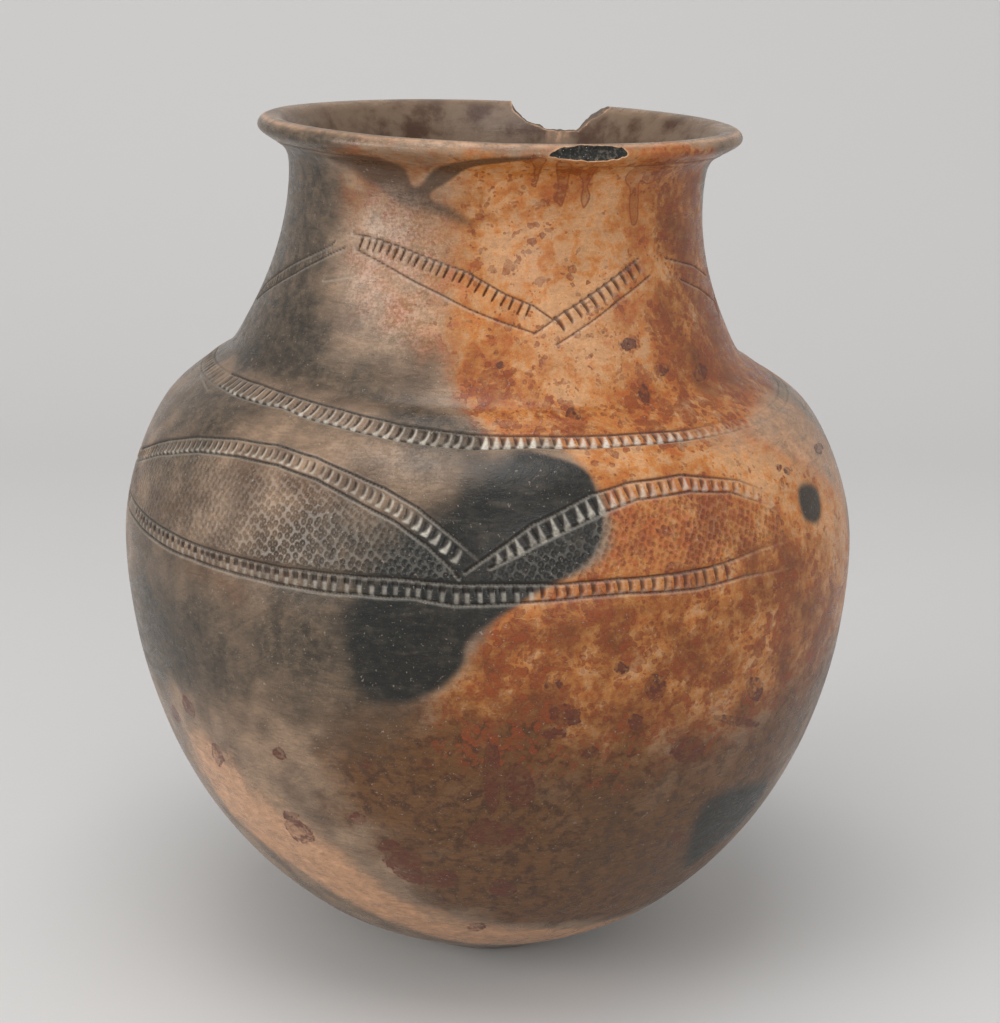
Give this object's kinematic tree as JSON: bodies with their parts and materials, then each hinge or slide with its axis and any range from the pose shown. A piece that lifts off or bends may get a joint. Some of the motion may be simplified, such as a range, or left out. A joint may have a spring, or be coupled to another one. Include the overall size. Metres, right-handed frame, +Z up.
{
  "type": "pottery vase",
  "caption": "Hand-built burnished clay pot with a round bottom, wide belly, tall tapered neck, everted lip and carved bands, its rim broken at the back.",
  "frame": {"origin": "on the ground, under the middle of the pot's bounding box", "axes": "+Z up the pot's axis, +X to the right of the side that the picture shows, -Y towards the viewer"},
  "size_m": [0.295, 0.295, 0.343],
  "materials": {
    "base_clay": "burnished",
    "lower_wall_clay": "burnished",
    "belly_clay": "burnished",
    "shoulder_clay": "burnished",
    "neck_clay": "burnished",
    "rim_clay": "burnished"
  },
  "bodies": {
    "root": {"base_bowl": "base_clay", "lower_wall_coil_1": "lower_wall_clay", "lower_wall_coil_2": "lower_wall_clay", "belly_coil_1": "belly_clay", "belly_coil_2": "belly_clay", "belly_coil_3": "belly_clay", "shoulder_coil_1": "shoulder_clay", "shoulder_coil_2": "shoulder_clay", "neck_coil_1": "neck_clay", "neck_coil_2": "neck_clay", "neck_coil_3": "neck_clay", "rim_coil": "rim_clay"}
  },
  "joints": []
}
